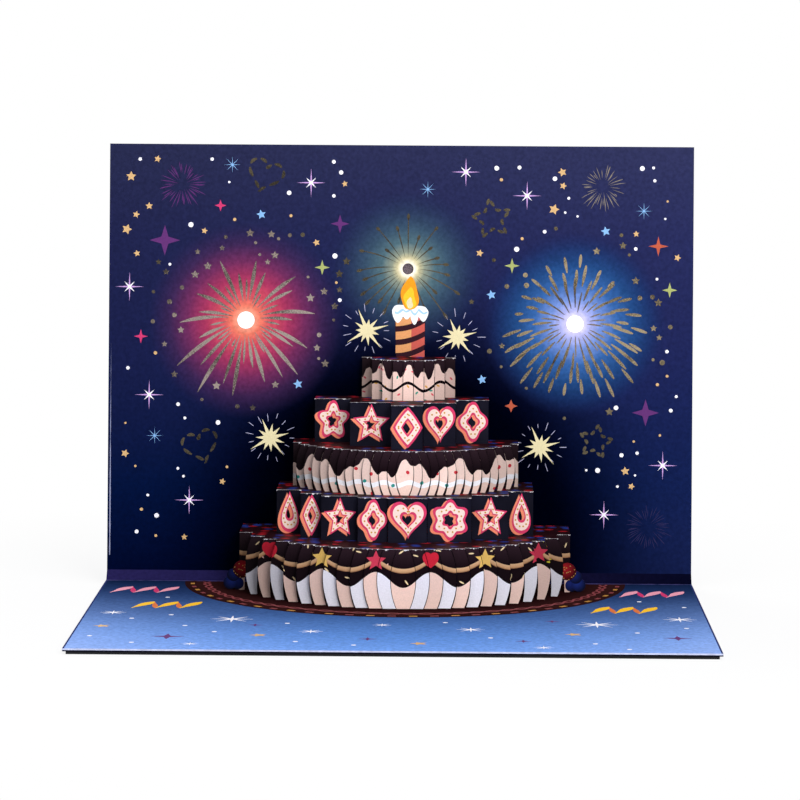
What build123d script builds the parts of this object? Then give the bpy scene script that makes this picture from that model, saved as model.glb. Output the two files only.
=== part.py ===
from build123d import *
import os
from collections import namedtuple
from math import cos, radians, sin, sqrt, tan

# Pop-up card standing open on a table: a folded cover, a printed lining with a shallow pocket
# for lights and sound behind its back panel, and a tiered cake of folded, die-cut sheets.
# Millimetres. X runs along the fold, -Y points to the reader, +Z is up and the table is Z 0.

# Card panels
card_width = 200.0
panel_length = 146.0  # from fold to free edge, on both panels
opening_angle = 95.55  # between base panel and back panel
lining_t = 0.9
cover_t = 1.0
cover_inset = 1.0  # the cover's free edges stay this far behind the lining's
spine_width = 4.4  # slanted strip of the lining between its two folds
board_fold_r = 0.5  # inside radius of a fold in the thick boards

# Pocket behind the back panel
pocket_depth = 4.2
frame_bar = 6.0
frame_inset = 2.5

# Cake sheets
sheet_t = 0.35
slit = 0.2  # cut between neighbouring slats
foot_tab = 5.0
foot_tab_share = 0.7  # longest foot tab as a share of the slat's distance from the wall
back_flap = 8.0
flap_taper = 3.0
cake_x = 2.2  # the cake stands this far right of the card's middle

# Bottom tier
bottom_h = 19.2
bottom_slats = 12  # on each side of the middle slat
bottom_pitch = 4.45
bottom_depth = 64.0
bottom_reach = 57.5
bottom_bow = 1.9
bottom_foot_in = 2.5  # narrowing of the outermost slat at its foot
bottom_foot_power = 1.8

# Lower sign tier
lower_sign_h = 14.6
lower_sign_widths = (8.4, 7.1, 12.2, 10.0, 13.0, 14.7, 12.3, 8.5)
lower_sign_depth = 47.8
lower_sign_reach = 46.5

# Middle tier
middle_h = 14.5
middle_slats = 13
middle_pitch = 2.83
middle_depth = 39.5
middle_reach = 39.0
middle_bow = 1.6
middle_foot_in = 1.3
middle_foot_power = 0.6

# Upper sign tier
upper_sign_h = 14.6
upper_sign_widths = (12.3, 14.0, 10.7, 11.0, 11.1)
upper_sign_shift = -1.5  # glued this far to the right of the cake's middle
upper_sign_depth = 34.5
upper_sign_fall = 0.95  # loss of depth for each millimetre away from the middle

# Top tier
top_h = 13.5
top_slats = 4
top_pitch = 3.55
top_depth = 16.5
top_reach = 14.6
top_shift = 0.7

# Berries cut with the end slats: distance out from the slat's edge, height, radius
berries = ((-0.9, 6.9, 2.9), (1.9, 5.0, 2.1), (3.0, 2.4, 2.2), (0.4, 2.2, 2.0))

# Light windows and sensor hole: place across and up the back panel from its fold
window_d = 5.9
window_places = {"left": (-53.0, 85.8), "right": (59.7, 85.2)}
sensor_hole_d = 3.8
sensor_place = (2.4, 103.7)
cap_clearance = 0.1
cap_flange_d = 8.4
cap_flange_t = 0.6
cap_proud = 0.2
lamp_d = 5.0
lamp_h = 2.4
felt_t = 0.4
sensor_d = 6.0
sensor_h = 2.7

# Light-and-sound module
board_place = (2.0, 42.0)
board_size = (50.0, 34.0)
board_t = 1.0
cell_d = 20.0
cell_h = 2.5
cell_place = (9.0, 0.0)
contact_t = 0.12
contact_width = 4.0
contact_overhang = 1.4
chip_size = (9.0, 9.0)
chip_h = 1.6
chip_place = (-14.0, -7.0)
speaker_place = (-58.0, 36.0)
speaker_d = 28.0
speaker_h = 3.2
cone_t = 0.4
lead_width = 1.4
lead_t = 0.7
lead_clearance = 0.05

lean = radians(opening_angle - 90)
x_axis = Vector(1, 0, 0)
wall_up = Vector(0, sin(lean), cos(lean))
wall_back = Vector(0, cos(lean), -sin(lean))

# The fold is placed so that the card's box is centred front to back on the origin.
floor_z = cover_t + lining_t
spine_step = spine_width * cos(radians(45))
wall_stack = lining_t + pocket_depth + cover_t
rear_reach = spine_step + (panel_length - cover_inset) * sin(lean) + wall_stack * cos(lean)
fold_y = (panel_length - rear_reach) / 2
wall_foot = Vector(0, fold_y + spine_step, floor_z + spine_step)


def wall_point(across, up, behind=0.0):
    """Point on or behind the printed face of the back panel."""
    return wall_foot + x_axis * across + wall_up * up + wall_back * behind


def wall_plane(across, up, behind=0.0):
    """Plane parallel to the back panel that faces the reader, with its Y up the panel."""
    return Plane(origin=wall_point(across, up, behind), x_dir=x_axis, z_dir=wall_back * -1)


def wall_y(z):
    """Where the printed face of the back panel, carried down to height z, stands."""
    return wall_foot.Y + (z - wall_foot.Z) * tan(lean)


def polygon(points):
    return make_face(Polyline(*points, close=True))


def disc(diameter, thickness):
    """Round disc behind the XY plane."""
    return Pos(0, 0, -thickness / 2) * Cylinder(diameter / 2, thickness)


def folded_board(path, thickness, width):
    """Board bent along a path of (y, z); the path is its face on the reader's side."""
    face_line = FilletPolyline(*path, radius=board_fold_r)
    section = make_face(offset(face_line, thickness, side=Side.RIGHT, kind=Kind.ARC))
    return extrude(Plane.YZ * section, width / 2, both=True)


def make_inner_card():
    """Printed lining: base panel, slanted spine strip and back panel with its three holes."""
    wall_top = wall_point(0, panel_length)
    path = (
        (fold_y - panel_length, floor_z),
        (fold_y, floor_z),
        (wall_foot.Y, wall_foot.Z),
        (wall_top.Y, wall_top.Z),
    )
    card = folded_board(path, lining_t, card_width)
    through = 4 * lining_t
    for place in window_places.values():
        card -= wall_plane(*place) * Cylinder(window_d / 2, through)
    return card - wall_plane(*sensor_place) * Cylinder(sensor_hole_d / 2, through)


def make_outer_cover():
    """Cover: base panel, flat spine strip and the back panel that closes the pocket."""
    behind = lining_t + pocket_depth
    corner_up = (cover_t - wall_foot.Z + behind * sin(lean)) / cos(lean)
    corner = wall_point(0, corner_up, behind)
    top = wall_point(0, panel_length - cover_inset, behind)
    path = ((fold_y - panel_length + cover_inset, cover_t), (corner.Y, corner.Z), (top.Y, top.Z))
    return folded_board(path, cover_t, card_width - 2 * cover_inset)


def make_pocket_frame():
    """Board spacer along the four edges of the pocket."""
    width = card_width - 2 * frame_inset
    height = panel_length - 2 * frame_inset
    ring = Rectangle(width, height) - Rectangle(width - 2 * frame_bar, height - 2 * frame_bar)
    plane = wall_plane(0, panel_length / 2, lining_t)
    return extrude(plane * ring, -pocket_depth)


Slat = namedtuple("Slat", "left right depth left_bow right_bow left_foot right_foot")


def panel_row(widths, depth_at, shift=0.0):
    """Flat sign panels side by side, centred on the cake or shifted along it."""
    left = shift - sum(widths) / 2
    row = []
    for width in widths:
        row.append(Slat(left, left + width, depth_at(left + width / 2), 0, 0, 0, 0))
        left += width
    return row


def slat_row(count, pitch, depth_at, bow=0.0, foot_in=0.0, foot_power=1.0, shift=0.0):
    """Slats on both sides of a middle one. Cut edges bow outwards, apart from the row's two ends,
    and slats narrow at the foot by a power of their distance from the middle."""
    row = []
    for step in range(-count, count + 1):
        middle = step * pitch
        left_bow = bow if step > 0 else -bow
        right_bow = -bow if step < 0 else bow
        if step == -count:
            left_bow = 0
        if step == count:
            right_bow = 0
        inner_foot = foot_in * (abs(step) / count) ** foot_power
        edges = (left_bow, right_bow, inner_foot if step > 0 else 0, -inner_foot if step < 0 else 0)
        left = shift + middle - pitch / 2
        row.append(Slat(left, left + pitch, depth_at(middle), *edges))
    return row


def oval_depth(depth, reach):
    return lambda x: depth * sqrt(1 - (x / reach) ** 2)


def cut_edge(x, bow, foot, height):
    """Cut edge of a slat from its top fold down to its foot."""
    top = (x, height)
    end = (x + foot, 0)
    return ThreePointArc(top, (x + bow, height / 2), end) if bow else Line(top, end)


def top_step(slat, high):
    """Stretch of a tier's top from the wall to the fold above one slat."""
    under = high - sheet_t
    section = polygon(
        (
            (wall_y(high), high),
            (wall_y(high) - slat.depth, high),
            (wall_y(under) - slat.depth, under),
            (wall_y(under), under),
        )
    )
    return extrude(Plane.YZ.offset(cake_x + slat.left) * section, slat.right - slat.left)


def wall_flap(row, high, height):
    """Glue flap that hangs from the back of a tier's top, flat against the wall."""
    flap_h = min(back_flap, height / 2)
    left = cake_x + row[0].left
    right = cake_x + row[-1].right
    outline = (
        (left, 0),
        (right, 0),
        (right - flap_taper, -flap_h),
        (left + flap_taper, -flap_h),
    )
    plane = wall_plane(0, (high - wall_foot.Z) / cos(lean))
    return extrude(plane * polygon(outline), sheet_t, dir=(0, -1, 0))


def slat_plane(slat, low, across=0.0):
    """Plane of a slat's printed face, with its origin on the floor of the tier."""
    origin = Vector(cake_x + across, wall_y(low) - slat.depth, low)
    return Plane(origin=origin, x_dir=x_axis, z_dir=wall_back * -1)


def hanging_slat(slat, low, height):
    """Front slat under its fold, down to the floor of the tier, with the foot tab behind it."""
    drop = (height - sheet_t) / cos(lean)
    left = slat.left + slit / 2
    right = slat.right - slit / 2
    left_edge = cut_edge(left, slat.left_bow, slat.left_foot, drop)
    right_edge = cut_edge(right, slat.right_bow, slat.right_foot, drop)
    top_edge = Line((left, drop), (right, drop))
    foot_edge = Line(left_edge @ 1, right_edge @ 1)
    outline = make_face([top_edge, right_edge, foot_edge, left_edge])
    plane = slat_plane(slat, low)
    front = extrude(plane * outline, sheet_t, dir=(0, 1, 0))
    tab_length = min(foot_tab, foot_tab_share * slat.depth)
    foot_middle = foot_edge @ 0.5
    tab_middle = (cake_x + foot_middle.X, plane.origin.Y + tab_length / 2, low)
    tab = Pos(*tab_middle) * Rectangle(foot_edge.length, tab_length)
    return front + extrude(tab, sheet_t / cos(lean), dir=wall_up)


def berry_cluster(slat, low, side):
    """Round berry outlines cut in one with the end slat, on its outer edge."""
    plane = slat_plane(slat, low, slat.right if side > 0 else slat.left)
    outline = Sketch() + [Pos(side * out, up) * Circle(radius) for out, up, radius in berries]
    return extrude(plane * outline, sheet_t, dir=(0, 1, 0))


def folded_tier(low, height, row, extras=()):
    """One sheet: flap on the wall, stepped top, a hanging slat at each step and its foot tab."""
    high = low + height
    sheet = Part() + [top_step(slat, high) for slat in row]
    return sheet + [
        wall_flap(row, high, height),
        *[hanging_slat(slat, low, height) for slat in row],
        *extras,
    ]


def make_light_cap(place):
    """White diffuser cap: a boss through the window and a flange glued behind it."""
    boss = Pos(0, 0, cap_proud) * disc(window_d - 2 * cap_clearance, cap_proud + lining_t)
    flange = Pos(0, 0, -lining_t) * disc(cap_flange_d, cap_flange_t)
    return wall_plane(*place) * (boss + flange)


def make_lamp(place):
    """Flat-topped lamp glued to the back of its cap."""
    return wall_plane(*place, lining_t + cap_flange_t) * disc(lamp_d, lamp_h)


def make_sensor_felt():
    """Dust felt between the lining and the sensor."""
    return wall_plane(*sensor_place, lining_t) * disc(sensor_d, felt_t)


def make_blow_sensor():
    """Microphone capsule behind the felt."""
    return wall_plane(*sensor_place, lining_t + felt_t) * disc(sensor_d, sensor_h)


board_plane = wall_plane(*board_place, lining_t + pocket_depth)


def make_circuit_board():
    """Board glued to the inside of the cover."""
    return board_plane * extrude(Rectangle(*board_size), board_t)


def make_sound_chip():
    """Flat black chip on the board."""
    return board_plane * Pos(*chip_place, board_t) * extrude(Rectangle(*chip_size), chip_h)


def make_coin_cell():
    """Coin cell that lies on the board."""
    return board_plane * Pos(*cell_place, board_t + cell_h) * disc(cell_d, cell_h)


def make_cell_contact():
    """Spring strip across the cell, with a leg down to the board at each end."""
    half = cell_d / 2 + contact_overhang
    inner = half - contact_t
    top = cell_h + contact_t
    outline = (
        (-half, 0),
        (-inner, 0),
        (-inner, cell_h),
        (inner, cell_h),
        (inner, 0),
        (half, 0),
        (half, top),
        (-half, top),
    )
    strip = extrude(Plane.XZ * polygon(outline), contact_width / 2, both=True)
    return board_plane * Pos(*cell_place, board_t) * strip


def make_speaker_cone():
    """Film cone of the speaker, glued by its rim to the back of the lining."""
    return wall_plane(*speaker_place, lining_t) * disc(speaker_d, cone_t)


def make_speaker_can():
    """Flat can with the magnet, behind the speaker's cone."""
    return wall_plane(*speaker_place, lining_t + cone_t) * disc(speaker_d, speaker_h)


def make_lead(start, end):
    """Twin lead laid straight on the inside of the cover between two places on the back panel."""
    lift = lining_t + pocket_depth - lead_clearance - lead_t / 2
    line = Line(wall_point(*start, lift), wall_point(*end, lift))
    section_plane = Plane(origin=line @ 0, x_dir=wall_back.cross(line % 0), z_dir=line % 0)
    return extrude(section_plane * Rectangle(lead_width, lead_t), line.length)


tier_floors = [floor_z]
for tier_height in (bottom_h, lower_sign_h, middle_h, upper_sign_h):
    tier_floors.append(tier_floors[-1] + tier_height)

bottom_row = slat_row(
    bottom_slats,
    bottom_pitch,
    oval_depth(bottom_depth, bottom_reach),
    bottom_bow,
    bottom_foot_in,
    bottom_foot_power,
)
lower_sign_row = panel_row(lower_sign_widths, oval_depth(lower_sign_depth, lower_sign_reach))
middle_row = slat_row(
    middle_slats,
    middle_pitch,
    oval_depth(middle_depth, middle_reach),
    middle_bow,
    middle_foot_in,
    middle_foot_power,
)
upper_sign_row = panel_row(
    upper_sign_widths, lambda x: upper_sign_depth - upper_sign_fall * abs(x), upper_sign_shift
)
top_row = slat_row(top_slats, top_pitch, oval_depth(top_depth, top_reach), shift=top_shift)

berry_ends = [
    berry_cluster(bottom_row[0], tier_floors[0], -1),
    berry_cluster(bottom_row[-1], tier_floors[0], 1),
]

board_x, board_up = board_place
board_left = board_x - board_size[0] / 2
board_right = board_x + board_size[0] / 2
board_top = board_up + board_size[1] / 2
speaker_x, speaker_up = speaker_place
speaker_edge = speaker_x + speaker_d / 2
lead_routes = {
    "lamp_left": ((board_left - lead_width, board_up), window_places["left"]),
    "lamp_right": ((board_right + lead_width, board_up), window_places["right"]),
    "sensor": ((sensor_place[0], board_top + lead_clearance), sensor_place),
    "speaker": (
        (board_left - lead_clearance, speaker_up),
        (speaker_edge + lead_clearance, speaker_up),
    ),
}

nodes = {
    "outer_cover": make_outer_cover(),
    "inner_card": make_inner_card(),
    "pocket_frame": make_pocket_frame(),
    "bottom_tier": folded_tier(tier_floors[0], bottom_h, bottom_row, berry_ends),
    "lower_sign_tier": folded_tier(tier_floors[1], lower_sign_h, lower_sign_row),
    "middle_tier": folded_tier(tier_floors[2], middle_h, middle_row),
    "upper_sign_tier": folded_tier(tier_floors[3], upper_sign_h, upper_sign_row),
    "top_tier": folded_tier(tier_floors[4], top_h, top_row),
    "sensor_felt": make_sensor_felt(),
    "blow_sensor": make_blow_sensor(),
    "circuit_board": make_circuit_board(),
    "sound_chip": make_sound_chip(),
    "coin_cell": make_coin_cell(),
    "cell_contact": make_cell_contact(),
    "speaker_cone": make_speaker_cone(),
    "speaker_can": make_speaker_can(),
}
for name, route in lead_routes.items():
    nodes[f"lead_{name}"] = make_lead(*route)
for side, place in window_places.items():
    nodes[f"light_cap_{side}"] = make_light_cap(place)
    nodes[f"lamp_{side}"] = make_lamp(place)

os.makedirs("parts", exist_ok=True)
for name, shape in nodes.items():
    export_step(shape, f"parts/{name}.step")
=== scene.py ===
from functools import partial

import bpy
import numpy as np
from mathutils import Matrix, Vector


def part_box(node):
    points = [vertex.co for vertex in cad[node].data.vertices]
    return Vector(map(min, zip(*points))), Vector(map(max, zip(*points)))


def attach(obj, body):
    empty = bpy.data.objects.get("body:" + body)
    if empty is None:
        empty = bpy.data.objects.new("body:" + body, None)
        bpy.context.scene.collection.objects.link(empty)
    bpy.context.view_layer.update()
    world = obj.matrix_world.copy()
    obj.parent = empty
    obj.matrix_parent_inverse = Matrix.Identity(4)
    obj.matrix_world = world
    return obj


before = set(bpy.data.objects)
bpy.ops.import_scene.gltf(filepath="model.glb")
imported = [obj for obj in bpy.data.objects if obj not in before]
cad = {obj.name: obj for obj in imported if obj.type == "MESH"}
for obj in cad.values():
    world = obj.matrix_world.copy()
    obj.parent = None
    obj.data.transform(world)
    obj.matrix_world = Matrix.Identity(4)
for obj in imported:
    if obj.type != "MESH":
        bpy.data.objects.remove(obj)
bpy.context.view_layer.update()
mm = 0.001

# Outer cover: one sheet of dark board with a linen-embossed outside, folded at both edges of the spine.
# It is the outside of the closed card, glued under the lining and over the pocket's spacer.
cover_valley = "#0d1330"
cover_thread = "#202a55"
cover_worn = "#6d76a4"
cover_edge_shade = "#06070f"
thread_pitch = 1.3
thread_depth = 0.07
dye_cloud = 22.0
scuff_grain = 0.9
edge_rub_w = 2.0
corner_rub_w = 9.0
outward = (0, 0.707, -0.707)


def linear(code):
    """Linear colour, alpha 1, of an sRGB hex code."""
    share = np.array([int(code[i:i + 2], 16) for i in (1, 3, 5)]) / 255
    value = np.where(share <= 0.04045, share / 12.92, ((share + 0.055) / 1.055) ** 2.4)
    return (*value.tolist(), 1.0)


signs = {"+": "ADD", "-": "SUBTRACT", "*": "MULTIPLY", "<": "LESS_THAN", ">": "GREATER_THAN"}


def add(tree, kind, *inputs, sockets=None, stops=(), steps=False, **settings):
    """Adds one shader node. Its operation or blend stands after a colon, a sign is a Math node's, and
    settings are its other properties. Inputs fill its live sockets in order, and sockets fills them by
    name: with a value, a hex code, a node's first live output, or (node, output name). A Mix node mixes
    colours. Stops are a ramp's places, hex codes and, where not 1, alpha, and steps leaves them unmixed."""
    kind, _, mode = kind.partition(":")
    if kind in signs:
        kind, mode = "Math", signs[kind]
    node = tree.nodes.new("ShaderNode" + kind)
    if kind == "Mix":
        node.data_type = "RGBA"
    if mode:
        setattr(node, "blend_type" if kind == "Mix" else "operation", mode)
    for name, value in settings.items():
        setattr(node, name, value)
    for number, (place, code, *alpha) in enumerate(stops):
        ramp = node.color_ramp.elements
        stop = ramp[number] if number < len(ramp) else ramp.new(place)
        stop.position = place
        stop.color = (*linear(code)[:3], *(alpha or [1.0]))
    if steps:
        node.color_ramp.interpolation = "CONSTANT"
    live = [socket for socket in node.inputs if socket.enabled][:len(inputs)]
    named = [(node.inputs[name], source) for name, source in (sockets or {}).items()]
    for socket, source in [*zip(live, inputs, strict=True), *named]:
        if isinstance(source, bpy.types.Node):
            source = (source, next(output.identifier for output in source.outputs if output.enabled))
        if isinstance(source, tuple) and isinstance(source[0], bpy.types.Node):
            found = [output for output in source[0].outputs if source[1] in (output.identifier, output.name)]
            tree.links.new(found[0], socket)
        else:
            socket.default_value = linear(source) if isinstance(source, str) else source
    return node


def blank(name):
    """New material, with the function that adds nodes to it, its normal and its place in millimetres."""
    material = bpy.data.materials.new(name)
    material.use_nodes = True
    material.node_tree.nodes.clear()
    node = partial(add, material.node_tree)
    coordinate = node("TexCoord")
    place = node("VectorMath:SCALE", (coordinate, "Object"), 1 / mm)
    return material, node, (coordinate, "Normal"), place


def grain(node, place, size, depth):
    """Pressed fibres: noise as wide as size with finer noise in it, and its bump, depth high, in mm."""
    fibres = node("TexNoise", place, 1 / size, 4.0)
    return fibres, node("Bump", sockets={"Height": fibres, "Distance": depth * mm, "Strength": 0.6})


def toned(node, colour, value, *limits):
    """Colour times a tone: a value carried from its own low and high to the tone's."""
    return node("Mix:MULTIPLY", 1.0, colour, node("MapRange", value, *limits))


def coat(node, colour, bump, roughness, specular=0.5, metallic=0.0):
    """Puts a principled shader with this colour, bump and gloss on the material's output."""
    looks = {"Normal": bump, "Roughness": roughness, "Specular IOR Level": specular, "Metallic": metallic}
    shader = node("BsdfPrincipled", colour, sockets=looks)
    node("OutputMaterial", shader)
    return shader


def dress(material, *names):
    """Gives CAD nodes their material."""
    for name in names:
        cad[name].material_slots[0].material = material


# Linen-embossed board: crossed threads drawn 1.3 mm apart so that they show, paler on their ridges,
# a cloudy dye, rubbed corners and edges, and near-black painted shade on its cut edges, for the shadow under
# the lining.
cover_board, node, normal, place = blank("linen_embossed_board")
cover_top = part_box("outer_cover")[1] / mm
xyz = node("SeparateXYZ", place)
unfolded = node("CombineXYZ", (xyz, "X"), node("VectorMath:DOT_PRODUCT", place, (0, 1, 1)))
wave_scale = 2 * np.pi / (20 * thread_pitch)
weft, warp = (node("TexWave", unfolded, wave_scale, 2.2, 2.0, 0.6, bands_direction=way) for way in "XY")
relief = node("Math:MAXIMUM", (weft, "Fac"), (warp, "Fac"))
bump = node("Bump", sockets={"Height": relief, "Distance": thread_depth * mm, "Strength": 0.7})
tone = node("ValToRGB", relief, stops=((0.35, cover_valley), (1.0, cover_thread)))
tone = toned(node, tone, node("TexNoise", place, 1 / dye_cloud, 3.0), 0.3, 0.7, 0.8, 1.2)
to_side = node("-", cover_top.x, node("Math:ABSOLUTE", (xyz, "X")))
to_top = node("-", cover_top.z, (xyz, "Z"))
edge_rub = node("MapRange", node("Math:MINIMUM", to_side, to_top), 0.0, edge_rub_w, 0.42, 0.0)
corner_rub = node("MapRange", node("+", to_side, to_top), 0.0, corner_rub_w, 0.4, 0.0)
scuff = node("TexNoise", place, 1 / scuff_grain, 4.0)
rub = node("+", scuff, node("+", edge_rub, corner_rub))
tone = node("Mix", node("MapRange", rub, 0.86, 1.1, 0.0, 0.75), tone, cover_worn)
# Faces not turned outwards, the cut edges, take near-black painted shade.
outside = node(">", node("VectorMath:DOT_PRODUCT", normal, outward), 0.5)
coat(node, node("Mix", outside, cover_edge_shade, tone), bump, 0.6, 0.25)
dress(cover_board, "outer_cover")

# Pocket: grey-board spacer and the light-and-sound module, glued in before the lining closes it.
# A glass-fibre board with one coin cell, a flat speaker, two lamps, a microphone and their leads.


def mottled(name, size, depth, stops, roughness, metallic=0.0):
    """Material coloured by the height of its own grain, from one stop to the next, and its shader."""
    material, node, _, place = blank(name)
    mottle, bump = grain(node, place, size, depth)
    return material, coat(node, node("ValToRGB", mottle, stops=stops), bump, roughness, metallic=metallic)


# Dull board and vinyl, bright plating and glossy mask and resin, each mottled by its own fine grain.
# Each finish: its nodes, the dark and light of its mottle, metallic, roughness and the mottle's size.
pocket_finishes = {
    "grey_board": (("pocket_frame",), "#8d8a84", "#a5a29b", 0.0, 0.85, 0.8),
    "green_solder_mask": (("circuit_board",), "#0d4a2a", "#15603a", 0.0, 0.35, 6.0),
    "moulded_epoxy": (("sound_chip",), "#121214", "#1d1d20", 0.0, 0.55, 0.3),
    "plated_steel": (("coin_cell", "speaker_can", "blow_sensor"), "#b9babb", "#d2d3d4", 1.0, 0.32, 0.6),
    "spring_brass": (("cell_contact",), "#c09a52", "#d4b068", 1.0, 0.28, 0.5),
    "cone_film": (("speaker_cone",), "#1a1a1c", "#26262a", 0.0, 0.4, 1.5),
    "clear_lamp_resin": (("lamp_left", "lamp_right"), "#e9eef0", "#f6f8f9", 0.0, 0.15, 2.0),
}
leads = ("lead_lamp_left", "lead_lamp_right", "lead_sensor", "lead_speaker")
pocket_finishes["red_lead_vinyl"] = (leads, "#8e1418", "#a81d20", 0.0, 0.45, 1.0)
for name, (names, dark, light, metallic, roughness, size) in pocket_finishes.items():
    material, _ = mottled(name, size, 0.02, ((0.35, dark), (0.65, light)), roughness, metallic)
    dress(material, *names)

# Inner card: one printed board, base panel and back panel joined by a slanted spine strip.
# Offset print with a night sky and three bursts of light, unsealed, with raw pale cut edges.
panel_length = 146.0
half_width = 100.0
floor_z = 1.9
spine_width = 4.4
spine_step = spine_width * np.cos(np.radians(45))
lean = np.radians(5.55)
fold_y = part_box("inner_card")[0].y / mm + panel_length
wall_foot = np.array((0, fold_y + spine_step, floor_z + spine_step))
wall_up = np.array((0, np.sin(lean), np.cos(lean)))
wall_back = np.array((0, np.cos(lean), -np.sin(lean)))
window_left = (-53.0, 85.8)
window_right = (59.7, 85.2)
sensor_hole = (2.4, 103.7)
cake_x = 2.2
plate_half = 75.0
plate_depth = 79.4
pale_edge_depth = 0.5
inked_rim = 0.55
card_tooth = 1.2


def on_wall(points, lift=0.0):
    """Points (across, up) on the back panel in millimetres, lifted towards the reader, in metres."""
    across, up = np.moveaxis(np.asarray(points, float), -1, 0)[..., None]
    return (wall_foot + across * np.array((1, 0, 0)) + up * wall_up - lift * wall_back) * mm


# Matt offset ink on card: even fields of colour that fade into each other, over a fine paper grain.
card_ink, node, normal, place = blank("offset_printed_card")
fibres, bump = grain(node, place, 0.5, 0.015)
xyz = node("SeparateXYZ", place)
from_foot = node("VectorMath:SUBTRACT", place, wall_foot)
up = node("VectorMath:DOT_PRODUCT", from_foot, wall_up / panel_length)
# Night blue, lighter towards the top and to the right: partly print, partly painted light where the lamps
# light the panel most.
night_and_light = ((0.0, "#020a2c"), (0.2, "#05143c"), (0.5, "#191f48"), (0.78, "#20244a"), (1.0, "#282b4b"))
sky = toned(node, node("ValToRGB", up, stops=night_and_light), (xyz, "X"), -half_width, half_width, 0.84, 1.2)
# A blue haze lies low on the right.
low_right = node("MapRange", (xyz, "X"), 30.0, half_width, 0.0, 0.6)
lowness = node("MapRange", up, 0.1, 0.55, 1.0, 0.0)
sky = node("Mix", node("*", low_right, lowness), sky, "#1a2450")
# The sky is darkened nearly to black round the cake, in half an ellipse over the fold: partly a dark print,
# partly painted shade from the cake.
dusk_half = 80.0
dusk_height = 84.0
from_dusk = node("VectorMath:SUBTRACT", place, on_wall((cake_x, 12.0)) / mm)
dusk_share = node("VectorMath:MULTIPLY", from_dusk, (1 / dusk_half, 0, 1 / dusk_height))
dusk = node("VectorMath:LENGTH", dusk_share)
dusk_and_shade_cover = node("MapRange", dusk, 0.62, 1.15, 0.98, 0.0, interpolation_type="SMOOTHSTEP")
sky = node("Mix", dusk_and_shade_cover, sky, "#00010a")
# Each glow: its middle, and the colours at distances from it in millimetres, with how far they cover.
glow_cover = (1.0, 1.0, 1.0, 0.98, 0.9, 0.62, 0.0)
glows = (
    (
        window_left,
        (3.0, 5.0, 8.5, 14.0, 20.0, 26.0, 34.0),
        ("#f09a80", "#e0745f", "#c84c5a", "#a03458", "#6e2c57", "#442750", "#242149"),
    ),
    (
        window_right,
        (3.0, 5.0, 8.5, 14.0, 20.0, 26.0, 32.0),
        ("#cfcaf0", "#a8abe0", "#6f8acb", "#34609f", "#21477c", "#193263", "#18204e"),
    ),
    (
        sensor_hole,
        (2.3, 3.6, 5.6, 9.0, 14.0, 20.0, 27.0),
        ("#fbf3dc", "#cdc39a", "#889080", "#4d6872", "#374e62", "#2a3a55", "#1d284a"),
    ),
)
for centre, distances, codes in glows:
    away = node("VectorMath:DISTANCE", place, on_wall(centre) / mm)
    share = node("Math:DIVIDE", away, distances[-1])
    light = node("ValToRGB", share, stops=zip(np.divide(distances, distances[-1]), codes, glow_cover))
    sky = node("Mix", (light, "Alpha"), sky, light)
# Base panel: blue that pales to the front and its corners and darkens to the fold, partly print and partly
# painted shade from the cake and the back panel; an inked rim and a brown cake plate.
run = node("MapRange", (xyz, "Y"), fold_y, fold_y - panel_length, 0.0, 1.0)
blue_and_fold_shade = ((0.0, "#122040"), (0.2, "#1b3260"), (0.5, "#365791"), (0.8, "#5c8ad4"), (1.0, "#719eea"))
aside = node("*", (xyz, "X"), 1 / half_width)
corner = node("*", node("*", aside, aside), run)
corner_cover = node("*", corner, run)
blue = node("Mix", corner_cover, node("ValToRGB", run, stops=blue_and_fold_shade), "#93b0ee")
edge_in = node(">", node("Math:ABSOLUTE", (xyz, "X")), half_width - inked_rim)
blue = node("Mix", edge_in, blue, "#2b3468")
to_plate = node("VectorMath:SUBTRACT", place, (cake_x, fold_y, floor_z))
to_rim = node("VectorMath:MULTIPLY", to_plate, (1 / plate_half, 1 / plate_depth, 0))
rim = node("VectorMath:LENGTH", to_rim)
brown = ((0.0, "#160708"), (0.8, "#230e0f"), (0.93, "#321818"), (1.0, "#2a1415"))
ground = node("Mix", node("<", rim, 1.0), blue, node("ValToRGB", rim, stops=brown))
# Each print lies on the faces that are turned its way, and the rest is bare card.
# The cut front edge is pale card in its top half millimetre, over near-black painted shade for the shadow
# under the edge.
turned_back = node(">", node("VectorMath:DOT_PRODUCT", normal, -wall_back), 0.95)
over_fold = node(">", (xyz, "Z"), floor_z + spine_step / 2)
on_back = node("*", turned_back, over_fold)
rising = node("SeparateXYZ", normal)
on_ground = node(">", (rising, "Z"), 0.95)
on_spine = node(">", node("VectorMath:DOT_PRODUCT", normal, (0, -0.707, 0.707)), 0.75)
# The spine strip's violet ink is painted darker to the right, nearly black there, as painted shadow.
spine_shade = node("MapRange", (xyz, "X"), -half_width, half_width, 0.0, 1.0)
spine_ink_and_shade = node("Mix", spine_shade, "#231f4c", "#05061a")
at_edge = node("<", (rising, "Y"), -0.95)
above_edge_shade = node(">", (xyz, "Z"), floor_z - pale_edge_depth)
# Under the pale top of the front edge, the near-black is painted shade.
colour = node("Mix", at_edge, "#8d91b4", node("Mix", above_edge_shade, "#0c0d1c", "#b9bfdc"))
for where, print_there in ((on_spine, spine_ink_and_shade), (on_ground, ground), (on_back, sky)):
    colour = node("Mix", where, colour, print_there)
tooth = node("TexNoise", place, 1 / card_tooth, 4.0)
coat(node, toned(node, colour, tooth, 0.3, 0.7, 0.84, 1.16), bump, 0.6, 0.0)
dress(card_ink, "inner_card")

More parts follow.
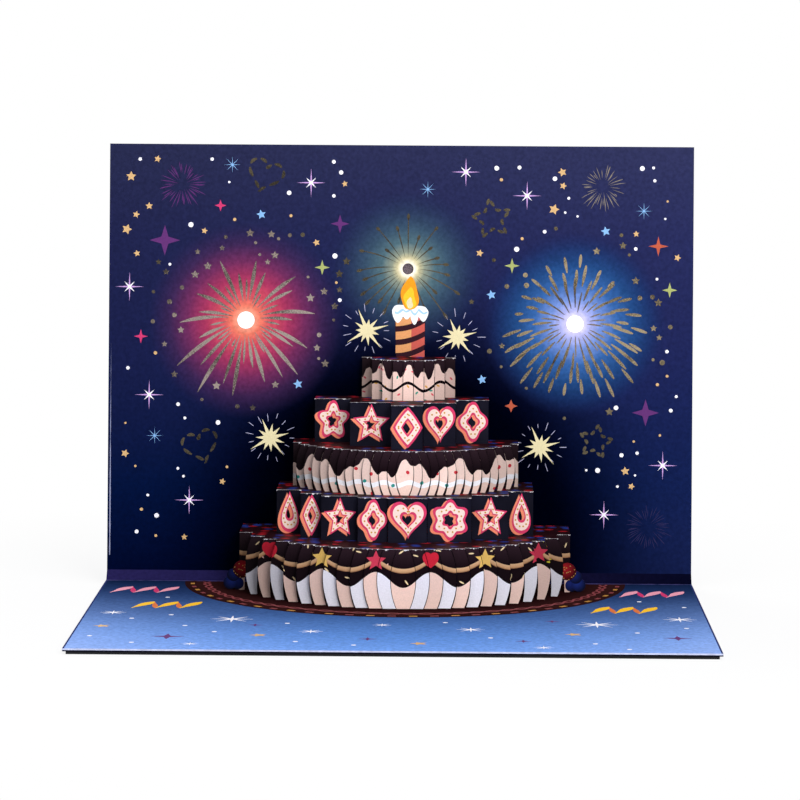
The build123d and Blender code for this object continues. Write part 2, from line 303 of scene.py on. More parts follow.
# Light caps: two small moulded diffusers pushed through the windows from behind and lit by their lamps.
# Opal polycarbonate: milky and even, glowing a little where its lamp shines through.
opal, shader = mottled("opal_polycarbonate", 0.8, 0.01, ((0.3, "#f3f1f6"), (0.7, "#ffffff")), 0.35)
shader.inputs["Subsurface Weight"].default_value = 0.4
shader.inputs["Subsurface Radius"].default_value = (mm, mm, mm)
shader.inputs["Emission Color"].default_value = linear("#fff6f2")
shader.inputs["Emission Strength"].default_value = 0.55
dress(opal, "light_cap_left", "light_cap_right")

# Felt: a dust pad glued in front of the microphone, which shows in the small hole.
# Pressed wool felt: dull grey with tangled fibres of about 0.2 mm.
felt, _ = mottled("pressed_felt", 0.2, 0.08, ((0.35, "#3a3136"), (0.7, "#8a7b80")), 0.95)
dress(felt, "sensor_felt")

# Back panel's foil and bright inks: three hot-stamped bursts round the holes, and strewn small ornaments.
# Each is a film a few hundredths of a millimetre thick, pressed into the face of the card.
film_t = 0.03
film_sunk = 0.01
fall_reach = 25.0
strew = np.random.default_rng(11)


def lay(name, points, faces, material, slot):
    """Makes a piece of thin film from points in metres, thickened back into the card under it."""
    mesh = bpy.data.meshes.new(name)
    mesh.from_pydata(points.reshape(-1, 3).tolist(), [], faces)
    mesh.materials.append(material)
    piece = bpy.data.objects.new(name, mesh)
    bpy.context.scene.collection.objects.link(piece)
    thickness = piece.modifiers.new("film", "SOLIDIFY")
    thickness.thickness = (film_t + film_sunk) * mm
    thickness.offset = -1.0
    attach(piece, "root")


def spots(name, shapes, material, layer=1, place_on=on_wall, slot="lining_board"):
    """Film of filled shapes: an array (count, n, 2 or more) of outlines, each anticlockwise and one face.
    A film that covers others has a higher layer, and lies as many film thicknesses over the card."""
    count, n = shapes.shape[:2]
    faces = np.arange(count * n).reshape(count, n).tolist()
    lay(name, place_on(shapes.reshape(count * n, -1), layer * film_t), faces, material, slot)


def bands(name, sides, material, layer=1, place_on=on_wall, slot="lining_board", closed=False):
    """Film of ribbons: their left and right edges, arrays (count, n, 2 or more), joined by quads."""
    count, n = sides[0].shape[:2]
    points = np.stack(sides, 2).reshape(count * n * 2, -1)
    row = np.arange(n if closed else n - 1)
    base = np.arange(count)[:, None] * n
    here = (base + row) * 2
    there = (base + (row + 1) % n) * 2
    faces = np.stack((here + 1, there + 1, there, here), -1).reshape(-1, 4).tolist()
    lay(name, place_on(points, layer * film_t), faces, material, slot)


def spread(*axes):
    """Points from their coordinates, arrays or numbers, each spread to the shape of all."""
    return np.stack(np.broadcast_arrays(*axes), -1)


def edges(line, half):
    """Left and right edges of lines (count, n, 2): the line moved by half its width along its normal."""
    way = np.gradient(line, axis=-2)
    side = spread(-way[..., 1], way[..., 0]) / np.linalg.norm(way, axis=-1, keepdims=True)
    side = side * np.broadcast_to(half, line.shape[:-1])[..., None]
    return line + side, line - side


def polar(angle, radius):
    """Points at an angle from the right and a radius: the radius times its cosine and sine."""
    return spread(np.cos(angle) * radius, np.sin(angle) * radius)


def around(count):
    """Angles of a whole turn in count equal steps."""
    return np.linspace(0, 2 * np.pi, count, endpoint=False)


def streaks(centre, angles, starts, ends, width, fall, blunt=1.0):
    """Streaks of a burst: each leaves the centre at its angle and falls by the square of its way out, where
    it is level by fall at fall_reach, and less where it is steep. It swells and thins like half a sine
    wave, with ends as round as blunt is small."""
    way = np.linspace(0, 1, 10)
    out = starts[:, None] + (ends - starts)[:, None] * way
    line = polar(angles[:, None], out)
    line[..., 1] -= fall * np.abs(np.cos(angles))[:, None] * (out / fall_reach) ** 2
    half = width / 2 * np.sin(np.pi * (0.04 + 0.92 * way ** 1.3)) ** blunt
    return edges(line + np.asarray(centre), half)


def stars(places, points, outer, inner, turn=0.0):
    """Star outlines round places (count, 2): radii that swap between outer and inner."""
    number = np.arange(2 * points)
    outer, inner, turn = (np.broadcast_to(value, len(places))[:, None] for value in (outer, inner, turn))
    angle = np.pi / 2 + number * np.pi / points + turn
    return np.asarray(places)[:, None] + polar(angle, outer + (inner - outer) * (number % 2))


def rounds(places, radius):
    """Round dots of 14 sides about places (count, 2)."""
    return np.asarray(places)[:, None] + polar(around(14), np.broadcast_to(radius, len(places))[:, None])


# Hot-stamped foil: a crinkled metal film, dull gold with painted reflections that turn it grey and brown in
# clouds.
# Round the two windows it is painted brighter, a painted reflection of the room's light, and it stays dark
# elsewhere.
foil, node, _, place = blank("hot_stamped_foil")
foil_cloud = 16.0
crinkle, bump = grain(node, place, 0.35, 0.02)
flake = node("MapRange", crinkle, 0.3, 0.7, -0.25, 0.25)
tint = node("+", node("TexNoise", place, 1 / foil_cloud, 1.0), flake)
metal = node("ValToRGB", tint, stops=((0.3, "#201b14"), (0.7, "#4a4334")))
for centre, dull, bright in ((window_left, "#3d3531", "#8a7d78"), (window_right, "#3a3226", "#7c705a")):
    window_reflection = node("ValToRGB", tint, stops=((0.3, dull), (0.7, bright)))
    away = node("VectorMath:DISTANCE", place, on_wall(centre) / mm)
    metal = node("Mix", node("MapRange", away, 25.0, 36.0, 1.0, 0.0), metal, window_reflection)
coat(node, metal, bump, 0.42, metallic=0.8)


def ink(name, code):
    """Opaque offset ink of one colour, a little uneven over the paper's tooth."""
    material, node, _, place = blank(name)
    fibres, bump = grain(node, place, 0.4, 0.01)
    coat(node, toned(node, code, fibres, 0.3, 0.7, 0.92, 1.06), bump, 0.6, 0.08)
    return material


white_ink = ink("white_ink", "#f5f3fb")
purple_ink = ink("purple_ink", "#5d2d6c")
pink_ink = ink("pink_ink", "#cc386c")
peach_ink = ink("peach_ink", "#d2ab78")
sky_ink = ink("sky_ink", "#84b2e4")
lemon_ink = ink("lemon_ink", "#e4d8ac")

# Left burst: leaves of foil in three lengths, in turn. Right burst: broken rings of short leaves.
# Both are stamped round a light window, and the leaves droop a little towards their tips.
leaf_fall = 7.0
# Each burst: its middle, the turn from ring to ring, how far angles, starts and ends vary, bluntness, and
# for each ring where its leaves start and end, their number and their width.
leaf_bursts = {
    "left": (
        window_left,
        (np.pi / 18, 0.025, (-0.2, 2.4), (-3.5, 2.5), 1.0),
        ((4.7, 13.0, 12, 0.75), (4.9, 19.5, 12, 1.15), (5.3, 24.0, 12, 1.35)),
    ),
    "right": (
        window_right,
        (0.13, 0.03, (-1.0, 1.0), (-1.8, 1.6), 0.5),
        ((5.0, 10.5, 24, 0.5), (8.8, 16.0, 22, 0.9), (13.6, 20.5, 29, 1.1), (19.0, 23.6, 24, 1.1)),
    ),
}
leaf_spots = []
for side, (centre, (turn, angle_play, start_play, end_play, blunt), rings) in leaf_bursts.items():
    for ring, (start, end, count, width) in enumerate(rings):
        angle = around(count) + ring * turn + strew.normal(0, angle_play, count)
        starts = start + strew.uniform(*start_play, count)
        ends = end + strew.uniform(*end_play, count)
        leaves = streaks(centre, angle, starts, ends, width, leaf_fall, blunt)
        bands(f"foil_leaves_{side}_{ring}", leaves, foil)
        leaf_spots.extend(np.mean(leaves, 0).reshape(-1, 2))

# Middle burst: thin foil stems with a bud at the tip of each, stamped round the small hole.
# A bud is a short, wide leaf on the last millimetres of its stem's own line.
stem_count = 24
stem_start = 4.0
stem_w = 0.42
stem_fall = 8.0
bud_in = 2.0
bud_out = 0.4
bud_w = 1.05
stem_angle = around(stem_count) + strew.normal(0, 0.06, stem_count)
stem_end = strew.uniform(9, 20, stem_count)
stems = streaks(sensor_hole, stem_angle, np.full(stem_count, stem_start), stem_end, stem_w, stem_fall)
bands("foil_stems", stems, foil)
buds = streaks(sensor_hole, stem_angle, stem_end - bud_in, stem_end + bud_out, bud_w, stem_fall, 0.7)
bands("foil_buds", buds, foil)

# Sparkles of four long and four short rays, four-pointed stars, and fine-lined far bursts.
# Offset inks on the sky, where a sparkle's short rays are printed over its long ones.
sparkles = ((-31, 133), (43, 129), (-86, 60), (-72, 24), (90, 37), (70, 20), (-93, 97), (22, 137))
# Each group: its ink, layer, room round each star, number of points with their radii and turn, and places.
star_groups = {
    "lilac_rays": (ink("lilac_ink", "#c39ad6"), 1, 6.0, (4, 5.0, 0.42), sparkles),
    "white_rays": (white_ink, 2, 6.0, (4, 2.5, 0.45, np.pi / 4), sparkles),
    "purple_stars": (
        purple_ink, 1, 6.0, (4, (5.2, 4.6, 3.2), (1.7, 1.5, 1.0)),
        ((-81, 113), (84, 55), (-21, 119)),
    ),
    "orange_stars": (ink("ember_ink", "#b6563e"), 1, 3.5, (4, (3.4, 2.2), 0.9), ((88, 112), (38, 57))),
    "pink_stars": (pink_ink, 1, 3.5, (4, (2.4, 2.0), 0.7), ((-89, 80), (-62, 125))),
    "lime_stars": (ink("lime_ink", "#a2aa68"), 1, 3.5, (4, 2.6, 0.8), ((38, 105), (-27, 104), (92, 97))),
    "blue_stars": (
        sky_ink, 1, 3.5, (5, 1.7, 0.8, 0.2),
        ((-48, 122), (31, 95), (28, 66), (70, 117), (-35, 64)),
    ),
    "frost_asterisks": (sky_ink, 1, 3.5, (8, 2.9, 0.32), ((-58, 139), (83, 124), (-84, 46), (9, 131))),
}
for name, (paint, layer, room, shape, places) in star_groups.items():
    spots(name, stars(places, *shape), paint, layer)
far_count = 46
far_fall = 9.0
far_bursts = (
    ("purple_burst", (-75, 132), 8.5, 0.22, purple_ink),
    ("stone_burst", (69, 132), 8.5, 0.2, ink("stone_ink", "#857c70")),
    ("dusk_burst", (85, 16), 9.0, 0.2, ink("dusk_ink", "#29254f")),
)
for name, centre, radius, width, paint in far_bursts:
    angle = around(far_count) + strew.normal(0, 0.05, far_count)
    ends = strew.uniform(0.62, 1.0, far_count) * radius
    starts = strew.uniform(0.2, 0.5, far_count) * radius
    bands(name, streaks(centre, angle, starts, ends, width, far_fall), paint)

# Sparks beside the tiers: lemon stars with uneven points, ringed by thin white dashes.
# Offset inks on the back panel, which stand out behind the top tier and the middle one.
spark_places = np.array(((-11.5, 82.5), (19.5, 80.5), (-44.5, 45.5), (48.0, 43.0)))
spark_corners = 22
spark_waist = 2.2
long_tip = 2.6
number = np.arange(spark_corners)
spark_tips = strew.uniform(3.9, 5.4, (len(spark_places), spark_corners)) + long_tip * (number % 3 == 0)
spark = polar(around(spark_corners) + 0.25, np.where(number % 2, spark_waist, spark_tips))
spots("lemon_sparks", spark_places[:, None] + spark, lemon_ink)
mist_ink = ink("mist_ink", "#b4b3d2")
dash_count = 15
dash_w = 0.2
for number, centre in enumerate(spark_places):
    starts = strew.uniform(5.4, 7.0, dash_count)
    ends = starts + strew.uniform(1.3, 3.0, dash_count)
    dash = streaks(centre, around(dash_count), starts, ends, dash_w, 0.0, 0.3)
    bands(f"spark_dashes_{number}", dash, mist_ink)

# Foil hearts and stars: outlines of short dabs, hot-stamped with the bursts.
# A dab takes up most of its share of the outline, and is widest at its middle.
dab_share = 0.72
dab_w = 1.15


def dabs(path, count):
    """Foil dabs along a closed path, a function of the turn from 0 to 1, as wide as a part of a sine."""
    way = np.linspace(0, 1, 6)
    line = path(np.arange(count)[:, None] / count + way * dab_share / count)
    return edges(line, dab_w / 2 * np.sin(np.pi * (0.12 + 0.76 * way)))


def heart_path(turn):
    """Heart curve in a unit box: a cubed sine across, and four cosines up."""
    angle = 2 * np.pi * turn
    up = 13 * np.cos(angle) - 5 * np.cos(2 * angle) - 2 * np.cos(3 * angle) - np.cos(4 * angle)
    return spread(-16 * np.sin(angle) ** 3, up + 2.5) / 16


def star_path(turn):
    """Five-pointed star with straight sides: the way between corner and corner, in a unit circle."""
    first = np.floor(turn * 10)
    here, there = (
        polar(np.pi / 2 + corner * np.pi / 5, np.where(corner % 2, 0.48, 1.0))
        for corner in (first, first + 1)
    )
    return here + (there - here) * (turn * 10 - first)[..., None]


# Each one's path, middle, size, tilt and number of dabs.
chains = (
    ("foil_heart", heart_path, (-68, 42), 6.0, 0.3, 11),
    ("foil_star", star_path, (31, 121), 7.0, 0.15, 15),
    ("foil_star_low", star_path, (67, 45), 6.0, -0.2, 15),
    ("foil_heart_high", heart_path, (-47, 135), 6.0, -0.35, 11),
)
for name, path, centre, size, tilt, count in chains:
    spin = np.array(((np.cos(tilt), np.sin(tilt)), (-np.sin(tilt), np.cos(tilt))))
    bands(name, dabs(lambda turn: path(turn) @ spin * size + np.array(centre), count), foil)

# Strewn dots and stars: peach and white ink all over the sky, and foil flecks round the three bursts.
# Each is clear of the cake, of the bursts and of every other ornament, whose place and room are listed.
taken = [(*window_left, 30.0), (*window_right, 29.0), (*sensor_hole, 8.0)]
taken += [(*spot, 0.8) for spot in (*leaf_spots, *np.mean(stems, 0).reshape(-1, 2))]
taken += [(*spot, room) for _, _, room, _, places in star_groups.values() for spot in places]
taken += [(*spot, 9.5) for spot in spark_places]
taken += [(*centre, radius) for _, centre, radius, _, _ in far_bursts]
taken += [(*centre, size + 1.5) for _, _, centre, size, _, _ in chains]
margin = 5
foot_margin = 9
cake_room = 83
cake_room_slope = 0.8
candle_room = 19


def strewn(count, room, tries):
    """The first count of the places tried that lie on the back panel beside the cake, whose room narrows
    upwards, and are clear of all others by room."""
    across, up = tries.T
    beside_cake = np.abs(across - cake_x) > np.maximum(cake_room - cake_room_slope * up, candle_room)
    inside = (np.abs(across) < half_width - margin) & (up > foot_margin) & (up < panel_length - margin)
    found = []
    for spot in tries[beside_cake & inside]:
        others = np.array(taken)
        if len(found) < count and (np.linalg.norm(others[:, :2] - spot, axis=1) - others[:, 2]).min() > room:
            taken.append((*spot, 1.0))
            found.append(spot)
    return np.array(found)


all_over = strew.uniform((-half_width, 0), (half_width, panel_length), (3000, 2))
star_spots = strewn(20, 3.5, all_over[:1000])
star_size = strew.uniform(1.1, 1.9, len(star_spots))
star_spin = strew.uniform(-0.4, 0.4, len(star_spots))
spots("peach_stars", stars(star_spots, 5, star_size, star_size * 0.5, star_spin), peach_ink)
dot_spots = strewn(44, 2.2, all_over[1000:2000])
spots("white_dots", rounds(dot_spots, strew.uniform(0.35, 0.9, len(dot_spots))), white_ink)
dot_spots = strewn(16, 3.0, all_over[2000:])
spots("peach_dots", rounds(dot_spots, strew.uniform(0.35, 0.6, len(dot_spots))), peach_ink)
# Foil flecks: dots and little stars, strewn in a ring round each burst, nearer to the middle one.
# The room round the two windows, first in the list, is theirs.
del taken[:2]
fleck_tries = 600
fleck_near = 21
fleck_far = 36
fleck_turn, fleck_out = strew.uniform((0, fleck_near), (2 * np.pi, fleck_far), (fleck_tries, 2)).T
fleck_burst = np.arange(fleck_tries) % 3
fleck_ring = polar(fleck_turn, fleck_out) * np.where(fleck_burst == 2, 0.75, 1.0)[:, None]
flecks = strewn(66, 1.6, np.array((window_left, window_right, sensor_hole))[fleck_burst] + fleck_ring)
spots("foil_dots", rounds(flecks[::2], strew.uniform(0.5, 0.95, len(flecks[::2]))), foil)
fleck_size = strew.uniform(1.0, 1.6, len(flecks[1::2]))
spots("foil_stars", stars(flecks[1::2], 5, fleck_size, fleck_size * 0.5), foil)

# Bare edge: low on the back panel's left edge the print is scuffed off, and the pale card shows.
# A thin ragged line of bare board, widest at the foot and gone halfway up.
scuff_foot = 5
scuff_top = 78
scuff_fade = 45
scuff_in = 0.85
scuff_half = 0.17
scuff_points = 30
edge_up = np.linspace(scuff_foot, scuff_top, scuff_points)
ragged = 1 + 0.25 * strew.normal(size=scuff_points)
edge_half = scuff_half * np.clip((scuff_top - edge_up) / scuff_fade, 0, 1) * ragged
edge_line = spread(scuff_in - half_width, edge_up)[None]
bands("scuffed_edge", edges(edge_line, edge_half), ink("scuffed_card", "#8a8eae"))

# Candle: printed on the back panel over the cake, striped wax with an iced top and a flame.
# The inks lie over each other in layers: body, stripes, icing, the icing's shade, and three flames.
candle_x = 3.3
candle_half = 5.3
candle_foot = 73.0
candle_top = 88.5
wick_top = 90.0
foot_half = candle_half - 0.6
barrel_x = candle_x + np.array((-foot_half, foot_half, candle_half, -candle_half))
barrel = spread(barrel_x, (candle_foot, candle_foot, candle_top, candle_top))
spots("candle_body", barrel[None], ink("maroon_ink", "#2c0f1c"))
# Each stripe climbs across the barrel in a bowed line, orange on the left and coral on the right.
stripe_step = 4.6
stripe_w = 2.7
stripe_rise = 1.5
stripe_bow = 0.7
stripe_inset = 0.35
stripe_low = candle_foot + np.arange(4) * stripe_step - 0.6
stripes = (("left", ink("wax_ink", "#de9c66"), -1, 0.08), ("right", ink("coral_ink", "#c65a50"), 0.08, 1))
for side, paint, start, end in stripes:
    way = np.linspace(start, end, 8)
    middle = stripe_low[:, None] + stripe_rise * way + stripe_bow * way ** 2
    across = candle_x + way * (candle_half - stripe_inset)
    sides = [np.clip(middle + half, candle_foot, candle_top) for half in (stripe_w / 2, -stripe_w / 2)]
    bands(f"candle_stripes_{side}", [spread(across, high) for high in sides], paint, 2)
# The icing is nearly flat on top, and its lower edge hangs in four drips, each half a sine wave.
icing_over = 0.9
way = np.sin(np.linspace(-np.pi / 2, np.pi / 2, 81))
drip_edge = np.array((-1, -0.4, 0.0, 0.46, 1))
drip_depth = np.array((2.4, 1.2, 3.0, 2.0))
drip_number = np.clip(np.searchsorted(drip_edge, way) - 1, 0, len(drip_depth) - 1)
drip_share = (way - drip_edge[drip_number]) / np.diff(drip_edge)[drip_number]
drip = drip_depth[drip_number] * np.sin(np.pi * np.clip(drip_share, 0, 1)) ** 0.8
icing_x = candle_x + way * (candle_half + icing_over)
upper = spread(icing_x, wick_top + 1.2 - 1.9 * np.abs(way) ** 9 - 0.3 * way)[None]
lower = spread(icing_x, candle_top - 0.9 - drip + np.abs(way) ** 9)[None]
bands("candle_icing", (upper, lower), ink("icing_ink", "#f6fafe"), 3)
shade = [
    (lower + (upper - lower) * (share + swing * np.cos(way * 4 * np.pi))[None, :, None])[:, 14:-8]
    for share, swing in ((0.66, 0.06), (0.5, 0.02))
]
bands("candle_icing_shade", shade, ink("shade_ink", "#a9d0ef"), 4)
# A flame swells with the root of its height, thins to its tip and sways like a sine. Each of the three has
# its ink, its share of the flame's size and how far it sways.
flame_h = 11.6
flame_w = 7.2
flame_low = wick_top - 0.4
core_ink = ink("core_ink", "#fbc32e")
rise = np.linspace(0, 1, 24)
flames = (
    ("candle_flame", ink("flame_ink", "#f39a1f"), 1.0, 0.5),
    ("candle_flame_core", core_ink, 0.66, 0.9),
    ("candle_flame_heart", lemon_ink, 0.34, 0.7),
)
for number, (name, paint, share, bend) in enumerate(flames):
    half = share * flame_w * np.sqrt(rise) * (1 - rise) ** 0.8 + 0.02
    sway = candle_x - 0.2 + bend * np.sin(rise * 2.6 * np.pi) * 0.55 * share
    height = flame_low + 0.25 * number + rise * flame_h * share
    bands(name, [spread(sway + side, height)[None] for side in (-half, half)], paint, 5 + number)

# Base panel's print: the rim of a cake plate, streamers, and stars strewn on the blue.
# Offset inks on the same lining card, in front of and beside the cake's foot.
braid_points = 400
braid_at = 0.9
braid_swing = 0.014
braid_twist = 120
braid_half = 0.4
rim_dashes = 32
rim_dash_at = 0.965
rim_dash_half = 0.7


def on_base(points, lift=0.0):
    """Points (across, towards the back) on the base panel in millimetres, lifted off it, in metres."""
    return spread(*np.moveaxis(points, -1, 0), floor_z + lift) * mm


def rim_line(turn, share):
    """Points at a share of the plate's half ellipse, turned from its left end round the front."""
    return np.array((cake_x, fold_y)) + polar(np.pi + turn * np.pi, share) * (plate_half, plate_depth)


# Two lines that wind about each other make a braid, and gold and rose dashes take turns outside it.
rose_ink = ink("rose_ink", "#7d3a3e")
braid_turn = np.linspace(0.015, 0.985, braid_points)
for number, phase in enumerate((0, np.pi)):
    braid_share = braid_at + braid_swing * np.sin(braid_turn * braid_twist + phase)
    braid = rim_line(braid_turn, braid_share)[None]
    bands(f"plate_braid_{number}", edges(braid, braid_half), rose_ink, 1 + number, on_base)
dash_turn = np.linspace(0.03, 0.97, rim_dashes)[:, None] + np.linspace(-0.006, 0.006, 4)
dash_sides = np.array(edges(rim_line(dash_turn, rim_dash_at), rim_dash_half))
bands("plate_dashes_gold", dash_sides[:, ::2], ink("gold_ink", "#b8823c"), 1, on_base)
bands("plate_dashes_rose", dash_sides[:, 1::2], rose_ink, 1, on_base)
# Streamers: a twisted paper ribbon shows its two sides in turn, as slanting leaves that meet end to end.
pink_sides = (ink("light_pink_ink", "#f0a0b4"), pink_ink)
yellow_sides = (core_ink, ink("orange_ink", "#d9743f"))
streamers = (
    ("pink_left", (-96, 32), pink_sides),
    ("yellow_left", (-86, -2), yellow_sides),
    ("pink_right", (74, 30), pink_sides),
    ("yellow_right", (63, -6), yellow_sides),
)
streamer_h = 14.0
wide_step = 6.4
narrow_step = 1.4
leaf_way = np.linspace(0, 1, 9)
joint_x = np.cumsum((0, wide_step, narrow_step, wide_step, narrow_step, wide_step))
joint_y = np.where(np.arange(len(joint_x)) % 2, streamer_h, 0.0)
for name, start, paints in streamers:
    joints = np.array(start) + spread(joint_x, joint_y)
    leaves = joints[:-1, None] + (joints[1:] - joints[:-1])[:, None] * leaf_way[:, None]
    for first, (paint, wide) in enumerate(zip(paints, (1.7, 0.8))):
        ribbon = edges(leaves[first::2], 0.15 + wide * np.sin(np.pi * leaf_way ** 1.6))
        bands(f"streamer_{name}_{first}", ribbon, paint, 2 - first, on_base)
base_sparkles = (
    (-52, -24), (64, -30), (91, -18), (24, -42), (-91, -12), (-26, -48), (46, -76), (-4, -34), (-62, -74),
)
sparkle_size = np.array((6.8, 6.8, 5.4, 4.6, 4.2, 3.8, 3.2, 3.0, 2.8))
spots("base_sparkles", stars(base_sparkles, 8, sparkle_size, 0.19 * sparkle_size), white_ink, 1, on_base)
base_dark = ((-70, -60), (88, -56), (40, -64), (-8, -62), (-44, -36), (50, -24))
dark_size = np.array((5.2, 4.4, 2.6, 3.0, 2.4, 2.4))
spots("base_purple_stars", stars(base_dark, 4, dark_size, 0.28 * dark_size), purple_ink, 1, on_base)
base_warm = ((-42, -56), (8, -70), (56, -50), (-92, -40))
spots("base_peach_stars", stars(base_warm, 5, 2.8, 1.3, 0.3), peach_ink, 1, on_base)
base_dots = (
    (-76, 22), (-66, -38), (-12, -74), (30, -58), (62, -68), (92, -36), (80, 20), (-94, -60), (-30, -68),
    (-84, -24), (-56, -50), (16, -28), (76, -46), (94, 8), (-34, -32), (72, -78), (-80, -72), (-72, -16),
)
spots("base_dots", rounds(base_dots, 0.8), white_ink, 1, on_base)

# Worn fold: along the foot of the spine strip the ink is rubbed to a paler violet.
# A ragged line on the base panel, where opening and closing the card has creased the print.
rub_points = 120
rub_in = 0.9
rub_half = 0.55
rub_line = spread(np.linspace(-half_width, half_width, rub_points), fold_y - rub_in)[None]
rub_halves = np.clip(rub_half + 0.3 * strew.normal(size=rub_points), 0.1, 0.85)
bands("rubbed_fold", edges(rub_line, rub_halves), ink("rubbed_ink", "#3a3768"), 1, on_base)

# Bottom tier: one die-cut sheet with 25 slats under a stepped top, its foot tabs glued to the base.
# Printed white card with pink and white icing, a poured chocolate edge and a hung garland.
bottom_floor = floor_z
bottom_h = 19.2
bottom_slats = 12
bottom_pitch = 4.45
bottom_depth = 64.0
bottom_reach = 57.5
berry_cell = 4.2
glazed_dark = "#1c070c"


def cake_sheet(name, low):
    """Material of a printed cake sheet, as blank gives it, with the places its print is drawn by: across
    the cake from its middle, height over the tier's floor, and how far it is set out from the wall."""
    material, node, normal, place = blank(name)
    xyz = node("SeparateXYZ", place)
    across = node("-", (xyz, "X"), cake_x)
    high = node("-", (xyz, "Z"), low)
    leaning = node("VectorMath:DOT_PRODUCT", place, (0, -1, np.tan(lean)))
    out = node("+", leaning, wall_foot[1] - wall_foot[2] * np.tan(lean))
    return material, node, normal, place, across, high, out


def berry_top(node, place):
    """Print on a tier's top: dark glaze strewn with red and blue berries of about 3 mm."""
    cells = node("TexVoronoi", place, 1 / berry_cell, voronoi_dimensions="2D")
    kind = node("SeparateColor", (cells, "Color"))
    fruit = ((0.0, "#8e1620"), (0.36, "#1e3078"), (0.6, glazed_dark))
    berry = toned(node, node("ValToRGB", kind, stops=fruit, steps=True), cells, 0.0, 0.4, 1.35, 0.45)
    return node("Mix", node("<", cells, 0.4), glazed_dark, berry)


def lay_print(node, normal, place, across, half, front):
    """Puts the front print on faces turned to the reader, berries on faces turned up, the front print
    darkened nearly to black on the cut sides and near-black on the rest, both painted shade for the dark
    gaps between slats. The front carries painted shade towards both ends, most on the left, half a tier's
    width from its middle, and all lies over a fine grain."""
    # Painted shade towards both ends of the front, most on the left.
    aside = node("Math:ABSOLUTE", node("-", across, 0.12 * half))
    front = toned(node, front, aside, 0.3 * half, 1.12 * half, 1.0, 0.4)
    turned = node("SeparateXYZ", normal)
    at_front = node("<", (turned, "Y"), -0.9)
    at_top = node(">", (turned, "Z"), 0.9)
    at_side = node(">", node("Math:ABSOLUTE", (turned, "X")), 0.4)
    # Cut sides and the rest take near-black painted shade, for the dark gaps between slats.
    colour = node("Mix", at_side, "#1d1116", node("Mix", 0.9, front, "#160a10"))
    colour = node("Mix", at_front, colour, front)
    colour = node("Mix", at_top, colour, berry_top(node, place))
    fibres, bump = grain(node, place, 0.4, 0.012)
    coat(node, toned(node, colour, fibres, 0.3, 0.7, 0.93, 1.07), bump, 0.5, 0.03)


def slat_number(node, across, out, depth, reach, pitch):
    """Number of the slat at a place, with the middle one as 50 and less on the left: the slats stand on
    an ellipse, so the way they are set out gives the way they stand across, in pitches."""
    share = node("*", out, 1 / depth)
    left_over = node("-", 1.0, node("*", share, share))
    step = node("*", node("Math:POWER", left_over, 0.5), reach / pitch)
    return node("Math:MULTIPLY_ADD", node("Math:ROUND", step), node("Math:SIGN", across), 50.0)


def slat_tone(node, front, number):
    """Front print that is a little lighter or darker on each slat, as each turns its own way to light."""
    own = node("TexWhiteNoise", number, noise_dimensions="1D")
    return toned(node, front, own, 0.0, 1.0, 0.9, 1.08)


def glaze(node, high, top):
    """Chocolate glaze that catches some light in the last 6 mm under the fold."""
    return node("Mix", node("MapRange", high, top - 6.0, top, 0.0, 1.0), "#11050b", "#2a1a22")


def sprinkles(node, across, high, cell, length, thick, *stops):
    """Sugar strands: an ellipse in each cell of a jittered lattice, turned its own way. Gives where they
    are, and their colours, in steps of a number drawn for each cell."""
    flat = node("CombineXYZ", across, high)
    cells = node("TexVoronoi", flat, 1 / cell, voronoi_dimensions="2D")
    kind = node("SeparateColor", (cells, "Color"))
    local = node("VectorMath:SUBTRACT", flat, (cells, "Position"))
    angle = node("*", kind, 2 * np.pi)
    turned = node("VectorRotate", local, sockets={"Angle": angle}, rotation_type="Z_AXIS")
    squeezed = node("VectorMath:MULTIPLY", turned, (2 / length, 2 / thick, 0))
    sugar = node("ValToRGB", (kind, "Green"), stops=stops, steps=True)
    return node("<", node("VectorMath:LENGTH", squeezed), 1.0), sugar


# Coated card, offset printed: clean flat fields with a slight satin.
bottom_card, node, normal, place, across, high, out = cake_sheet("printed_bottom_tier", bottom_floor)
number = slat_number(node, across, out, bottom_depth, bottom_reach, bottom_pitch)
front = node("Mix", node("Math:PINGPONG", number, 1.0), "#f0cdc2", "#edeaf6")
swag = 4 * bottom_pitch
pour_height = 9.3
pour_swing = 2.5
wave = node("Math:COSINE", node("*", across, 2 * np.pi / swag))
poured = node(">", high, node("Math:MULTIPLY_ADD", wave, -pour_swing, pour_height))
front = node("Mix", poured, front, glaze(node, high, bottom_h))
sugars = ((0.0, "#ecd2a4"), (0.6, "#d9cf3a"), (0.8, "#e8b8b0"))
strand, sugar = sprinkles(node, across, high, 7.4, 1.8, 0.5, *sugars)
front = node("Mix", node("*", strand, poured), front, sugar)
# The garland's rope hangs in parabolas, lightest along its upper side.
rope_low = 12.2
rope_drop = 3.8
rope_half = 0.75
hang = node("Math:PINGPONG", across, swag / 2)
hang_square = node("*", hang, hang)
rope_line = node("Math:MULTIPLY_ADD", hang_square, rope_drop / (swag / 2) ** 2, rope_low)
over_rope = node("-", high, rope_line)
rope_share = node("MapRange", over_rope, -rope_half, rope_half, 0.0, 1.0)
rope_ink = node("ValToRGB", rope_share, stops=((0.0, "#8a5a44"), (0.3, "#c4966c"), (1.0, "#d4aa84")))
front = node("Mix", node("Math:COMPARE", over_rope, 0.0, rope_half), front, rope_ink)
# Hearts and stars hang where two swags meet, in turn: a heart, a gold star and a coral star.
hung_at = 15.4
beside = node("Math:WRAP", node("-", across, swag / 2), swag / 2, -swag / 2)
above = node("-", high, hung_at)
turn_number = node("Math:FLOOR", node("*", across, 1 / swag))
turn_kind = node("Math:FLOORED_MODULO", turn_number, 3.0)
star_turn = node(">", turn_kind, 0.5)
coral_turn = node(">", turn_kind, 1.5)
